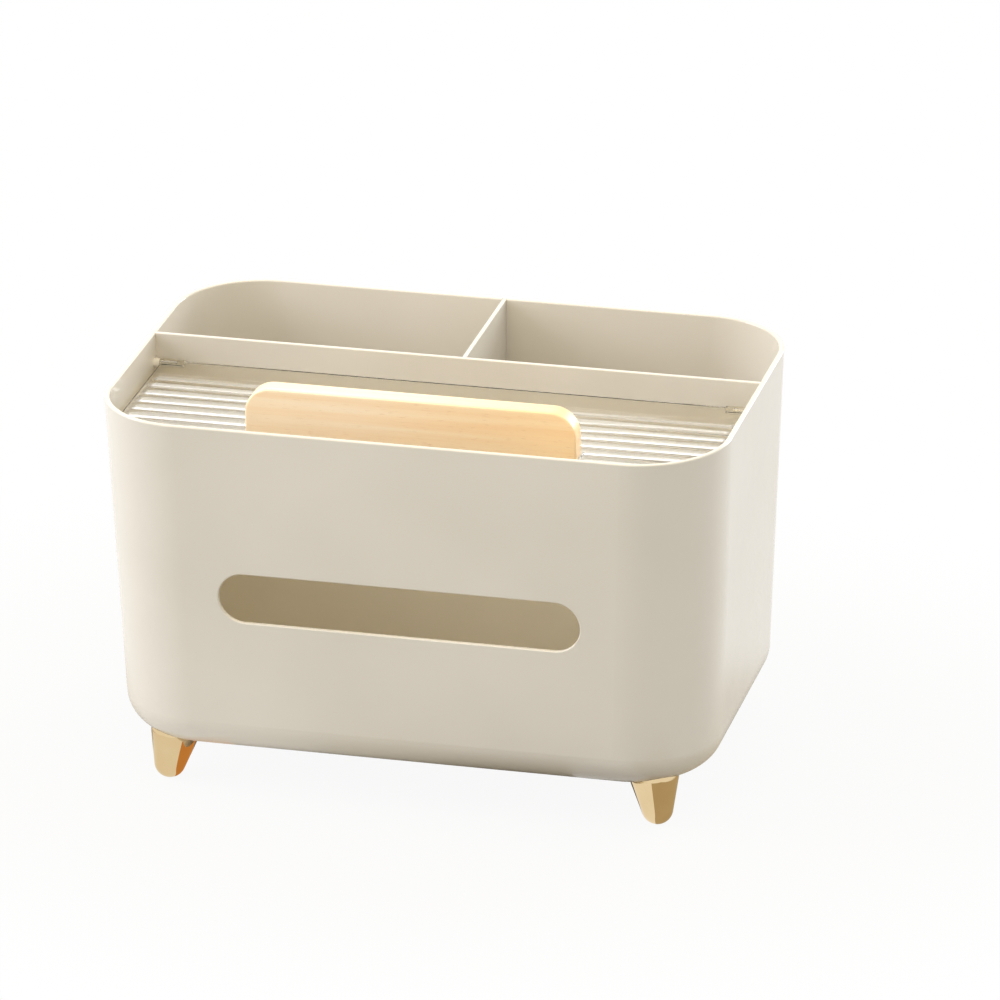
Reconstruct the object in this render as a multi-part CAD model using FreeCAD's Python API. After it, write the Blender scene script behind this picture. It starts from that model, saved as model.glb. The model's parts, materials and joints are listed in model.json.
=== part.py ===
import FreeCAD, Part
import math
import os

# Tissue box holder: a moulded tub on four tapered legs, with a tissue bay at the front
# that empties through a slot, two storage bays behind it and a clear flip lid with a
# wooden pull. Millimetres and degrees. The floor it stands on is z = 0, x runs to the
# right, the front faces -y, and the origin is under the middle of the tub.

Vector = FreeCAD.Vector

# Moulded shell
SHELL_WIDTH = 240.0  # across the rim, left to right
SHELL_DEPTH = 156.0  # across the rim, front to back
SHELL_HEIGHT = 134.4  # from the underside to the rim
WALL = 2.0
FLOOR = 2.5
DRAFT_ANGLE = 2.0  # each wall leans out by this much towards the rim
CORNER_RADIUS = 34.5  # upright corners, outside
BOTTOM_ROUND = 14.0  # edge between walls and underside, outside
RIM_ROUND = 0.6

# Tissue slot in the front wall
SLOT_WIDTH = 139.0
SLOT_HEIGHT = 20.0
SLOT_RISE = 66.0  # middle of the slot above the underside
SLOT_EDGE_ROUND = 0.5

# Divider panels, housed in shallow grooves
FRONT_BAY = 91.0  # front of the rim to the middle of the bay divider
BAY_DIVIDER = 1.8
STORAGE_DIVIDER = 1.6
STORAGE_OFFSET = 3.3  # storage divider stands this far right of the middle
GROOVE_DEPTH = 0.8
GROOVE_CLEARANCE = 0.05
PANEL_EDGE_ROUND = 0.4
DIVIDER_GROOVE_DEPTH = 0.6  # in the back of the bay divider, for the storage divider

# Clear lid
LID_DROP = 9.8  # crests of the flutes below the rim
LID_PLATE = 2.2  # plate without its flutes
LID_SIDE_GAP = 2.6  # to the walls at the sides and front
LID_REAR_RADIUS = 1.5
LID_EDGE_ROUND = 0.4
FLUTE_PITCH = 7.6
FLUTE_HEIGHT = 0.5
FLUTE_BORDER = 1.8  # plain margin round the flutes
HINGE_STRIP = 13.6  # plain strip along the rear edge

# Lid hinge: a pin in each rear corner of the lid turns in a boss on the side wall
KNUCKLE_DIAMETER = 4.4
KNUCKLE_LENGTH = 9.0
KNUCKLE_CLEARANCE = 0.5  # to the divider behind it
LID_TAIL = 1.9  # plate reaches this far behind the hinge line
PIN_DIAMETER = 2.0
PIN_GRIP = 6.0  # length of pin held in the knuckle
PIN_RUNNING_CLEARANCE = 0.05  # round the pin, in the boss
PIN_HELD_CLEARANCE = 0.01  # round the pin, in the knuckle
PIN_END_GAP = 0.3
BOSS_GAP = 0.4  # boss face to the end of the knuckle

# Ledges inside the front wall that the closed lid lies on
LEDGE_WIDTH = 14.0
LEDGE_SPACING = 110.0
LEDGE_REACH = 4.0  # under the lid
LEDGE_LIP = 2.0
LEDGE_GAP = 0.2

# Wooden pull
HANDLE_LENGTH = 127.0
HANDLE_THICKNESS = 8.5
HANDLE_HEIGHT = 18.3
HANDLE_CORNER = 10.0
HANDLE_EDGE_ROUND = 0.8
HANDLE_SETBACK = 23.0  # front of the rim to the face of the pull
HANDLE_PAD_MARGIN = 0.8  # flat seat on the lid, round the foot of the pull
HANDLE_SCREW_SPACING = 84.0

# Legs
LEG_HEIGHT = 17.0
LEG_TOP_DIAMETER = 18.6
LEG_TIP_DIAMETER = 12.0  # ball that the leg tapers down to
LEG_SHOULDER_ROUND = 6.0
LEG_SPLAY_SIDE = 8.2  # lean outwards to the side
LEG_SPLAY_END = 11.6  # lean outwards to the front or back
LEG_INSET_SIDE = 21.9  # sides of the underside to the middle of the leg
LEG_INSET_END = 16.5  # front and back of the underside to the middle of the leg
LEG_FOOT_TRIM = 0.3  # cut off the ball to give it a flat
LEG_SEAT_GAP = 0.05
LEG_BOSS_DIAMETER = 9.5
LEG_BOSS_HEIGHT = 6.6  # above the underside, inside the tub

# Pan head screws for the legs and the pull
SCREW_DIAMETER = 3.0
SCREW_HEAD_DIAMETER = 5.6
SCREW_HEAD_HEIGHT = 2.0
SCREW_HEAD_ROUND = 0.8
SCREW_POINT = 2.0
SCREW_RECESS_WIDTH = 0.9
SCREW_RECESS_LENGTH = 3.2
SCREW_RECESS_DEPTH = 1.0
LEG_SCREW_LENGTH = 14.0  # under the head
HANDLE_SCREW_LENGTH = 12.0  # under the head
SCREW_HOLE_CLEARANCE = 0.2  # round the shank, in the shell and the lid
SCREW_PILOT_CLEARANCE = 0.02  # round the shank, in the leg and the pull
SCREW_PILOT_SPARE = 1.0  # hole beyond the point of the screw

# Places that follow from the sizes
TAPER = math.tan(math.radians(DRAFT_ANGLE))
UNDERSIDE_Z = LEG_HEIGHT
FLOOR_Z = UNDERSIDE_Z + FLOOR
RIM_Z = UNDERSIDE_Z + SHELL_HEIGHT
FRONT_Y = -SHELL_DEPTH / 2
DIVIDER_Y = FRONT_Y + FRONT_BAY
DIVIDER_FRONT_Y = DIVIDER_Y - BAY_DIVIDER / 2
DIVIDER_BACK_Y = DIVIDER_Y + BAY_DIVIDER / 2
CREST_Z = RIM_Z - LID_DROP
PLATE_TOP_Z = CREST_Z - FLUTE_HEIGHT
PLATE_BOTTOM_Z = PLATE_TOP_Z - LID_PLATE
HINGE_Y = DIVIDER_FRONT_Y - KNUCKLE_CLEARANCE - KNUCKLE_DIAMETER / 2
HINGE_Z = PLATE_BOTTOM_Z + LID_PLATE / 2
HANDLE_FRONT_Y = FRONT_Y + HANDLE_SETBACK
HANDLE_Y = HANDLE_FRONT_Y + HANDLE_THICKNESS / 2
SPARE = 5.0  # how far cutting shapes run past what they cut
TOLERANCE = 1e-6


def half_width(z, inset=0.0):
    return SHELL_WIDTH / 2 - inset - (RIM_Z - z) * TAPER


def half_depth(z, inset=0.0):
    return SHELL_DEPTH / 2 - inset - (RIM_Z - z) * TAPER


LID_HALF_WIDTH = half_width(PLATE_BOTTOM_Z, WALL) - LID_SIDE_GAP
LID_FRONT_Y = -half_depth(PLATE_BOTTOM_Z, WALL) + LID_SIDE_GAP
LID_REAR_Y = HINGE_Y + LID_TAIL
BOSS_FACE_X = LID_HALF_WIDTH + BOSS_GAP
BOSS_HOLE_END_X = half_width(HINGE_Z, WALL) + WALL / 2
LEG_X = half_width(UNDERSIDE_Z) - LEG_INSET_SIDE
LEG_Y = half_depth(UNDERSIDE_Z) - LEG_INSET_END


def edges_at_height(shape, z):
    """Edges that lie flat at height z."""
    return [e for e in shape.Edges if all(abs(v.Z - z) < TOLERANCE for v in e.Vertexes)]


def rounded_face(corners, place):
    """Flat face inside corners (u, v, radius), with place(u, v) giving each point in space."""
    arrivals, middles, departures = [], [], []
    for i, (u, v, radius) in enumerate(corners):
        here = Vector(u, v, 0)
        before = Vector(corners[i - 1][0], corners[i - 1][1], 0) - here
        following = corners[(i + 1) % len(corners)]
        after = Vector(following[0], following[1], 0) - here
        before.normalize()
        after.normalize()
        half_angle = before.getAngle(after) / 2
        setback = radius / math.tan(half_angle)
        bisector = (before + after).normalize()
        arrivals.append(here + before * setback)
        middles.append(here + bisector * (radius / math.sin(half_angle) - radius))
        departures.append(here + after * setback)
    edges = []
    for i, corner in enumerate(corners):
        start = place(departures[i - 1].x, departures[i - 1].y)
        end = place(arrivals[i].x, arrivals[i].y)
        if start.distanceToPoint(end) > TOLERANCE:
            edges.append(Part.LineSegment(start, end).toShape())
        if corner[2] > 0:
            middle = place(middles[i].x, middles[i].y)
            leave = place(departures[i].x, departures[i].y)
            edges.append(Part.Arc(end, middle, leave).toShape())
    return Part.Face(Part.Wire(edges))


def cylinder(diameter, start, end):
    axis = end - start
    return Part.makeCylinder(diameter / 2, axis.Length, start, axis)


def box_between(low, high):
    size = high - low
    return Part.makeBox(size.x, size.y, size.z, low)


def turned(profile):
    """Solid of revolution about z from corners (radius, height, rounding)."""
    section = rounded_face(profile, lambda u, v: Vector(u, 0, v))
    return section.revolve(Vector(0, 0, 0), Vector(0, 0, 1), 360)


def tub_form(inset, bottom_z, top_z):
    """The outside form of the tub, drawn in by inset on every side, between two heights."""
    low_x, low_y = half_width(bottom_z, inset), half_depth(bottom_z, inset)
    top_x, top_y = half_width(top_z, inset), half_depth(top_z, inset)
    form = Part.makeWedge(-low_x, bottom_z, -low_y, -top_y, -top_x, low_x, top_z, low_y, top_y, top_x)
    form.rotate(Vector(0, 0, 0), Vector(1, 0, 0), 90)
    uprights = [e for e in form.Edges if e.BoundBox.ZLength > TOLERANCE]
    form = form.makeFillet(CORNER_RADIUS - inset, uprights)
    return form.makeFillet(BOTTOM_ROUND - inset, edges_at_height(form, bottom_z))


def slot_cutter():
    """Stadium that runs through the front wall."""
    half = SLOT_WIDTH / 2
    low = UNDERSIDE_Z + SLOT_RISE - SLOT_HEIGHT / 2
    high = low + SLOT_HEIGHT
    end_radius = SLOT_HEIGHT / 2
    corners = [(-half, low, end_radius), (half, low, end_radius),
               (half, high, end_radius), (-half, high, end_radius)]
    start_y = FRONT_Y - SPARE
    face = rounded_face(corners, lambda u, v: Vector(u, start_y, v))
    wall_depth = WALL + (RIM_Z - low) * TAPER
    return face.extrude(Vector(0, SPARE + wall_depth + SPARE, 0))


def divider_grooves():
    """Grooves in the walls for the ends of both divider panels."""
    bay_width = BAY_DIVIDER + 2 * GROOVE_CLEARANCE
    storage_width = STORAGE_DIVIDER + 2 * GROOVE_CLEARANCE
    reach = SHELL_WIDTH
    bay = box_between(Vector(-reach, DIVIDER_Y - bay_width / 2, FLOOR_Z),
                      Vector(reach, DIVIDER_Y + bay_width / 2, RIM_Z + SPARE))
    storage = box_between(Vector(STORAGE_OFFSET - storage_width / 2, DIVIDER_Y, FLOOR_Z),
                          Vector(STORAGE_OFFSET + storage_width / 2, SHELL_DEPTH, RIM_Z + SPARE))
    return bay.fuse(storage).common(tub_form(WALL - GROOVE_DEPTH, FLOOR_Z, RIM_Z + SPARE))


def leg_places():
    """Side, end and middle of each leg at the underside."""
    for side in (-1, 1):
        for end in (-1, 1):
            yield side, end, Vector(side * LEG_X, end * LEG_Y, UNDERSIDE_Z)


def leg_bosses():
    """Posts on the floor of the tub that take the heads of the leg screws."""
    top = Vector(0, 0, LEG_BOSS_HEIGHT)
    return [cylinder(LEG_BOSS_DIAMETER, place, place + top) for side, end, place in leg_places()]


def hinge_point(x):
    return Vector(x, HINGE_Y, HINGE_Z)


def hinge_bosses():
    """Bosses on the side walls, level with the hinge line."""
    return [cylinder(KNUCKLE_DIAMETER, hinge_point(side * BOSS_HOLE_END_X), hinge_point(side * BOSS_FACE_X))
            for side in (-1, 1)]


def lid_ledges():
    """Two ledges with sloping undersides, low on the inside of the front wall."""
    top = PLATE_BOTTOM_Z - LEDGE_GAP
    tip_y = LID_FRONT_Y + LEDGE_REACH
    root_y = FRONT_Y
    slope = tip_y - root_y
    profile = [(root_y, top, 0), (tip_y, top, 0), (tip_y, top - LEDGE_LIP, 0),
               (root_y, top - LEDGE_LIP - slope, 0)]
    ledges = []
    for side in (-1, 1):
        start_x = side * LEDGE_SPACING / 2 - LEDGE_WIDTH / 2
        face = rounded_face(profile, lambda u, v: Vector(start_x, u, v))
        ledges.append(face.extrude(Vector(LEDGE_WIDTH, 0, 0)))
    return ledges


def shell():
    outer = tub_form(0, UNDERSIDE_Z, RIM_Z)
    body = outer.cut(tub_form(WALL, FLOOR_Z, RIM_Z + SPARE))
    body = body.makeFillet(RIM_ROUND, edges_at_height(body, RIM_Z))
    for feature in leg_bosses() + hinge_bosses() + lid_ledges():
        body = body.fuse(feature.common(outer))
    body = body.cut(slot_cutter()).removeSplitter()
    slot_top = UNDERSIDE_Z + SLOT_RISE + SLOT_HEIGHT / 2
    slot_bottom = slot_top - SLOT_HEIGHT
    slot_edges = [e for e in body.Edges
                  if e.BoundBox.YMax < -half_depth(slot_bottom, WALL) + TOLERANCE
                  and e.BoundBox.ZMin > slot_bottom - TOLERANCE
                  and e.BoundBox.ZMax < slot_top + TOLERANCE
                  and e.BoundBox.YLength < WALL / 2]
    body = body.makeFillet(SLOT_EDGE_ROUND, slot_edges)
    body = body.cut(divider_grooves())
    for side in (-1, 1):
        hole = PIN_DIAMETER + 2 * PIN_RUNNING_CLEARANCE
        start = hinge_point(side * (BOSS_FACE_X - BOSS_GAP))
        body = body.cut(cylinder(hole, start, hinge_point(side * BOSS_HOLE_END_X)))
    for side, end, place in leg_places():
        hole = SCREW_DIAMETER + 2 * SCREW_HOLE_CLEARANCE
        below = place - Vector(0, 0, SPARE)
        above = place + Vector(0, 0, LEG_BOSS_HEIGHT + SPARE)
        body = body.cut(cylinder(hole, below, above))
    return body


def panel_inset():
    """How far the ends of a divider panel stay inside the outer wall face."""
    return WALL - GROOVE_DEPTH + GROOVE_CLEARANCE


def bay_divider():
    """Panel from side wall to side wall, with a groove for the storage divider at its back."""
    sheet = box_between(Vector(-SHELL_WIDTH, DIVIDER_FRONT_Y, FLOOR_Z),
                        Vector(SHELL_WIDTH, DIVIDER_BACK_Y, RIM_Z))
    panel = sheet.common(tub_form(panel_inset(), FLOOR_Z, RIM_Z))
    long_top_edges = [e for e in edges_at_height(panel, RIM_Z) if e.BoundBox.XLength > BAY_DIVIDER]
    panel = panel.makeFillet(PANEL_EDGE_ROUND, long_top_edges)
    groove_width = STORAGE_DIVIDER + 2 * GROOVE_CLEARANCE
    groove_floor_y = DIVIDER_BACK_Y - DIVIDER_GROOVE_DEPTH
    groove = box_between(Vector(STORAGE_OFFSET - groove_width / 2, groove_floor_y, FLOOR_Z - SPARE),
                         Vector(STORAGE_OFFSET + groove_width / 2, DIVIDER_BACK_Y + SPARE, RIM_Z + SPARE))
    return panel.cut(groove)


def storage_divider():
    """Panel from the bay divider to the back wall."""
    start_y = DIVIDER_BACK_Y - DIVIDER_GROOVE_DEPTH + GROOVE_CLEARANCE
    sheet = box_between(Vector(STORAGE_OFFSET - STORAGE_DIVIDER / 2, start_y, FLOOR_Z),
                        Vector(STORAGE_OFFSET + STORAGE_DIVIDER / 2, SHELL_DEPTH, RIM_Z))
    panel = sheet.common(tub_form(panel_inset(), FLOOR_Z, RIM_Z))
    long_top_edges = [e for e in edges_at_height(panel, RIM_Z) if e.BoundBox.YLength > STORAGE_DIVIDER]
    return panel.makeFillet(PANEL_EDGE_ROUND, long_top_edges)


def lid_outline(inset, z):
    """Plan of the lid drawn in by inset: large front corners, small rear ones."""
    front_radius = CORNER_RADIUS - WALL - LID_SIDE_GAP - inset
    half = LID_HALF_WIDTH - inset
    front = LID_FRONT_Y + inset
    rear = LID_REAR_Y
    corners = [(-half, front, front_radius), (half, front, front_radius),
               (half, rear, LID_REAR_RADIUS), (-half, rear, LID_REAR_RADIUS)]
    return rounded_face(corners, lambda u, v: Vector(u, v, z))


def flute_field():
    """Row of low rounded flutes along the lid, from the hinge strip to the front border."""
    rear = LID_REAR_Y - HINGE_STRIP
    count = int((rear - LID_FRONT_Y - FLUTE_BORDER) / FLUTE_PITCH)
    start_x = -LID_HALF_WIDTH
    root = PLATE_TOP_Z
    base = PLATE_TOP_Z - LID_PLATE / 2
    edges = []
    for i in range(count):
        back = rear - i * FLUTE_PITCH
        crest = Vector(start_x, back - FLUTE_PITCH / 2, CREST_Z)
        front = Vector(start_x, back - FLUTE_PITCH, root)
        edges.append(Part.Arc(Vector(start_x, back, root), crest, front).toShape())
    front_y = rear - count * FLUTE_PITCH
    outline = [Vector(start_x, front_y, root), Vector(start_x, front_y, base),
               Vector(start_x, rear, base), Vector(start_x, rear, root)]
    edges += [Part.LineSegment(a, b).toShape() for a, b in zip(outline, outline[1:])]
    row = Part.Face(Part.Wire(edges)).extrude(Vector(2 * LID_HALF_WIDTH, 0, 0))
    return row.common(lid_outline(FLUTE_BORDER, base).extrude(Vector(0, 0, CREST_Z - base + SPARE)))


def handle_screw_places():
    """Where each screw of the pull comes through the underside of the lid."""
    return [Vector(side * HANDLE_SCREW_SPACING / 2, HANDLE_Y, PLATE_BOTTOM_Z) for side in (-1, 1)]


def lid_panel():
    plate = lid_outline(0, PLATE_BOTTOM_Z).extrude(Vector(0, 0, LID_PLATE))
    plate = plate.makeFillet(LID_EDGE_ROUND, edges_at_height(plate, PLATE_TOP_Z))
    half_length = HANDLE_LENGTH / 2 + HANDLE_PAD_MARGIN
    half_breadth = HANDLE_THICKNESS / 2 + HANDLE_PAD_MARGIN
    pad = box_between(Vector(-half_length, HANDLE_Y - half_breadth, PLATE_BOTTOM_Z + LID_PLATE / 2),
                      Vector(half_length, HANDLE_Y + half_breadth, CREST_Z))
    lid = plate.fuse([flute_field(), pad])
    for side in (-1, 1):
        knuckle = cylinder(KNUCKLE_DIAMETER, hinge_point(side * LID_HALF_WIDTH),
                           hinge_point(side * (LID_HALF_WIDTH - KNUCKLE_LENGTH)))
        lid = lid.fuse(knuckle)
    lid = lid.removeSplitter()
    bore_depth = PIN_GRIP + PIN_END_GAP
    for side in (-1, 1):
        bore = cylinder(PIN_DIAMETER + 2 * PIN_HELD_CLEARANCE, hinge_point(side * (LID_HALF_WIDTH + SPARE)),
                        hinge_point(side * (LID_HALF_WIDTH - bore_depth)))
        lid = lid.cut(bore)
    for place in handle_screw_places():
        hole = SCREW_DIAMETER + 2 * SCREW_HOLE_CLEARANCE
        above = place + Vector(0, 0, LID_PLATE + SPARE)
        lid = lid.cut(cylinder(hole, place - Vector(0, 0, SPARE), above))
    return lid


def hinge_pin(side):
    """Moulded pin from the bore of the knuckle into the boss on the side wall."""
    return cylinder(PIN_DIAMETER, hinge_point(side * (LID_HALF_WIDTH - PIN_GRIP)),
                    hinge_point(side * (BOSS_HOLE_END_X - PIN_END_GAP)))


def lid_handle():
    """Upright wooden bar on the lid, rounded at its top corners."""
    half = HANDLE_LENGTH / 2
    top = CREST_Z + HANDLE_HEIGHT
    corners = [(-half, CREST_Z, 0), (half, CREST_Z, 0),
               (half, top, HANDLE_CORNER), (-half, top, HANDLE_CORNER)]
    face = rounded_face(corners, lambda u, v: Vector(u, HANDLE_FRONT_Y, v))
    bar = face.extrude(Vector(0, HANDLE_THICKNESS, 0))
    long_edges = [e for e in bar.Edges
                  if e.BoundBox.YLength < TOLERANCE and e.BoundBox.ZMax > CREST_Z + TOLERANCE]
    bar = bar.makeFillet(HANDLE_EDGE_ROUND, long_edges)
    depth = HANDLE_SCREW_LENGTH - (CREST_Z - PLATE_BOTTOM_Z) + SCREW_PILOT_SPARE
    for place in handle_screw_places():
        foot = Vector(place.x, place.y, CREST_Z)
        pilot = SCREW_DIAMETER + 2 * SCREW_PILOT_CLEARANCE
        bar = bar.cut(cylinder(pilot, foot - Vector(0, 0, SPARE), foot + Vector(0, 0, depth)))
    return bar


def screw(length):
    """Pan head screw with its head above z = 0 and its point below."""
    radius = SCREW_DIAMETER / 2
    head = SCREW_HEAD_DIAMETER / 2
    profile = [(0, -length, 0), (radius, SCREW_POINT - length, 0), (radius, 0, 0), (head, 0, 0),
               (head, SCREW_HEAD_HEIGHT, SCREW_HEAD_ROUND), (0, SCREW_HEAD_HEIGHT, 0)]
    body = turned(profile)
    long, wide = SCREW_RECESS_LENGTH / 2, SCREW_RECESS_WIDTH / 2
    floor, top = SCREW_HEAD_HEIGHT - SCREW_RECESS_DEPTH, SCREW_HEAD_HEIGHT + SPARE
    across = box_between(Vector(-long, -wide, floor), Vector(long, wide, top))
    along = box_between(Vector(-wide, -long, floor), Vector(wide, long, top))
    return body.cut(across.fuse(along))


def handle_screws():
    """Screws up through the lid into the foot of the pull."""
    screws = []
    for place in handle_screw_places():
        one = screw(HANDLE_SCREW_LENGTH)
        one.rotate(Vector(0, 0, 0), Vector(1, 0, 0), 180)
        one.translate(place)
        screws.append(one)
    return Part.makeCompound(screws)


def leg_screws():
    """Screws down through the bosses of the tub into the legs."""
    screws = []
    for side, end, place in leg_places():
        one = screw(LEG_SCREW_LENGTH)
        one.translate(place + Vector(0, 0, LEG_BOSS_HEIGHT))
        screws.append(one)
    return Part.makeCompound(screws)


def leg_direction(side, end):
    """Direction in which a leg points, from the tub to the floor."""
    sideways = side * math.tan(math.radians(LEG_SPLAY_SIDE))
    lengthways = end * math.tan(math.radians(LEG_SPLAY_END))
    return Vector(sideways, lengthways, -1).normalize()


def leg_profile(reach):
    """Half section of a leg: a cone that runs tangent into a ball, reach below the top of the cone."""
    top, ball = LEG_TOP_DIAMETER / 2, LEG_TIP_DIAMETER / 2
    lean = math.acos(ball / math.hypot(top, reach)) - math.atan2(reach, top)
    corner = ball * math.tan((math.pi / 2 - lean) / 2)
    return [(0, -reach - ball, 0), (corner, -reach - ball, ball), (top, 0, LEG_SHOULDER_ROUND),
            (top, BOTTOM_ROUND, 0), (0, BOTTOM_ROUND, 0)]


def leg(side, end):
    """Tapered leg that splays outwards, shaped to the underside of the tub."""
    place = Vector(side * LEG_X, end * LEG_Y, UNDERSIDE_Z)
    direction = leg_direction(side, end)
    reach = (LEG_HEIGHT + LEG_FOOT_TRIM - LEG_TIP_DIAMETER / 2) / -direction.z
    body = turned(leg_profile(reach))
    body.Placement = FreeCAD.Placement(place, FreeCAD.Rotation(Vector(0, 0, -1), direction))
    floor = box_between(Vector(-SHELL_WIDTH, -SHELL_DEPTH, -SPARE), Vector(SHELL_WIDTH, SHELL_DEPTH, 0))
    body = body.cut(floor).cut(tub_form(-LEG_SEAT_GAP, UNDERSIDE_Z - LEG_SEAT_GAP, RIM_Z))
    hole_end = LEG_SCREW_LENGTH - LEG_BOSS_HEIGHT + SCREW_PILOT_SPARE
    pilot = SCREW_DIAMETER + 2 * SCREW_PILOT_CLEARANCE
    return body.cut(cylinder(pilot, place - Vector(0, 0, hole_end), place + Vector(0, 0, SPARE)))


NODES = {
    "shell": shell(),
    "bay_divider": bay_divider(),
    "storage_divider": storage_divider(),
    "lid_panel": lid_panel(),
    "lid_handle": lid_handle(),
    "handle_screws": handle_screws(),
    "hinge_pin_left": hinge_pin(-1),
    "hinge_pin_right": hinge_pin(1),
    "leg_front_left": leg(-1, -1),
    "leg_front_right": leg(1, -1),
    "leg_rear_left": leg(-1, 1),
    "leg_rear_right": leg(1, 1),
    "leg_screws": leg_screws(),
}

os.makedirs("parts", exist_ok=True)
for name, shape in NODES.items():
    shape.exportStep(f"parts/{name}.step")
    box = shape.BoundBox
    print(f"{name}: {len(shape.Solids)} solid(s), valid {shape.isValid()}, {shape.Volume:.0f} mm3")
    print(f"    x {box.XMin:.2f} to {box.XMax:.2f}, y {box.YMin:.2f} to {box.YMax:.2f},"
          f" z {box.ZMin:.2f} to {box.ZMax:.2f}")
print(f"hinge line y {HINGE_Y:.3f} z {HINGE_Z:.3f}, rim z {RIM_Z:.3f}, lid crests z {CREST_Z:.3f}")
print(f"bay divider faces y {DIVIDER_FRONT_Y:.3f} and {DIVIDER_BACK_Y:.3f}")
print(f"lid half width {LID_HALF_WIDTH:.3f}, front y {LID_FRONT_Y:.3f}, rear y {LID_REAR_Y:.3f}")
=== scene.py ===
# %% [markdown]
# # A tissue box holder
#
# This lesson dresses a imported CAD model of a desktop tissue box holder: a cream moulded tub on
# four splayed legs, with a clear fluted flip lid and a wooden pull. The CAD gives every piece its
# size and place. Blender gives each one the surface that the eye and the light expect of it.

# %% Load the frame
import json
import math

import bmesh
import bpy
from mathutils import Matrix, Vector


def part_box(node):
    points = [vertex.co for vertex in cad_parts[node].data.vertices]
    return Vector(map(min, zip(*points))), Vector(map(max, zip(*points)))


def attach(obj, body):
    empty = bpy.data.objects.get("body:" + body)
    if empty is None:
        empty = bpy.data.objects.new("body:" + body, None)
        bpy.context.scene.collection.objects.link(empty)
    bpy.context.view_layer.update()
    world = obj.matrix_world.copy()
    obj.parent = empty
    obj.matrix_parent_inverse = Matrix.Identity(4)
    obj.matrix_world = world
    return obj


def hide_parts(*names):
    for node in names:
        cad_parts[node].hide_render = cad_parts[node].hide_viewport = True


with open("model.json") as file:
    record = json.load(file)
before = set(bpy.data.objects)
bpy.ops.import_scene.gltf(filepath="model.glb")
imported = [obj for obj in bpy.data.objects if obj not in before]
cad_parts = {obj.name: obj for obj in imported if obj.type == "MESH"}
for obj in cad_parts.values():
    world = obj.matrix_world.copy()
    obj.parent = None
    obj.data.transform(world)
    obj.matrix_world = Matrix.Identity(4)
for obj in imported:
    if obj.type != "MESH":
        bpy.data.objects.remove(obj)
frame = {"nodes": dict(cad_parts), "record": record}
bpy.context.view_layer.update()
MM = 0.001  # Blender works in metres, and the sizes in this lesson are written in millimetres

print("nodes:", ", ".join(sorted(frame["nodes"])))

# %% [markdown]
# ## Colours and nodes
#
# Colours are easiest to judge as the sRGB hex values of a paint chart, but shaders compute with
# linear light, so one function converts them. A second adds a node, sets its options, and links or
# sets its inputs, which keeps each material down to the lines that matter. A third turns the size
# of a grain or a cloud in millimetres into the Scale of its texture.

# %% Colour and node helpers


def linear(hex_colour):
    """sRGB hex such as "E7DFCB" as linear red, green, blue and alpha."""
    channels = [int(hex_colour[i:i + 2], 16) / 255 for i in (0, 2, 4)]
    return [c / 12.92 if c <= 0.04045 else ((c + 0.055) / 1.055) ** 2.4 for c in channels] + [1.0]


def add(tree, kind, inputs=None, stops=(), **options):
    """A node with its options, its inputs as sockets or values, and a ramp's (position, hex) stops."""
    node = tree.nodes.new(kind)
    for name, value in options.items():
        setattr(node, name, value)
    for name, value in (inputs or {}).items():
        if isinstance(value, bpy.types.NodeSocket):
            tree.links.new(value, node.inputs[name])
        else:
            node.inputs[name].default_value = value
    for index, (position, colour) in enumerate(stops):
        elements = node.color_ramp.elements
        element = elements[index] if index < len(elements) else elements.new(position)
        element.position, element.color = position, linear(colour)
    return node


def per_mm(size_mm):
    """The Scale of a texture whose pattern has this size on Object coordinates."""
    return 1 / (size_mm * MM)


def new_material(name):
    """An empty node material and its tree."""
    material = bpy.data.materials.new(name)
    material.use_nodes = True
    material.node_tree.nodes.clear()
    return material, material.node_tree


print("a mid grey of 808080 in linear light:", round(linear("808080")[0], 3))

# %% [markdown]
# ## Cream moulded plastic
#
# The tub and its dividers are injection-moulded ABS in a warm cream. Such plastic is coloured all
# the way through and takes its gloss from a polished mould, so it has an even diffuse colour under
# a clear reflection. What tells it from a flat colour is slight: a faint cloudiness of the pigment
# along the flow of the melt, a gloss that varies a little, and a shallow waviness like orange peel
# that bends reflections. Noise mostly lies between 0.3 and 0.7, so that range is spread over each
# effect.

# %% Cream moulded plastic


def moulded_cream_abs():
    material, tree = new_material("moulded_cream_abs")
    place = add(tree, "ShaderNodeTexCoord").outputs["Object"]
    cloud = add(tree, "ShaderNodeTexNoise", {"Vector": place, "Scale": per_mm(70), "Detail": 2.0})
    colour = add(tree, "ShaderNodeValToRGB", {"Fac": cloud.outputs["Fac"]},
                 [(0.3, "D0CABD"), (0.7, "D6D0C4")])
    gloss = add(tree, "ShaderNodeTexNoise", {"Vector": place, "Scale": per_mm(18), "Detail": 3.0})
    roughness = add(tree, "ShaderNodeMapRange", {
        "Value": gloss.outputs["Fac"], "From Min": 0.3, "From Max": 0.7, "To Min": 0.2, "To Max": 0.27})
    peel = add(tree, "ShaderNodeTexNoise", {"Vector": place, "Scale": per_mm(9), "Detail": 1.0})
    bump = add(tree, "ShaderNodeBump", {
        "Height": peel.outputs["Fac"], "Strength": 0.15, "Distance": 0.02 * MM})
    shader = add(tree, "ShaderNodeBsdfPrincipled", {
        "Base Color": colour.outputs["Color"], "Roughness": roughness.outputs["Result"],
        "IOR": 1.53, "Normal": bump.outputs["Normal"]})
    add(tree, "ShaderNodeOutputMaterial", {"Surface": shader.outputs["BSDF"]})
    return material


CREAM = moulded_cream_abs()
print("made", CREAM.name)

# %% [markdown]
# ## Clear styrene
#
# The lid and its pivots are clear injection-moulded styrene: water-clear, glossy and slightly warm
# where it is thick. A Principled shader with full transmission bends and mirrors light as the real
# sheet does. Cycles would treat it as a solid wall for light from lamps, though, so a Transparent
# shader stands in for those rays alone and lets the light reach the bay below.

# %% Clear styrene


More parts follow.
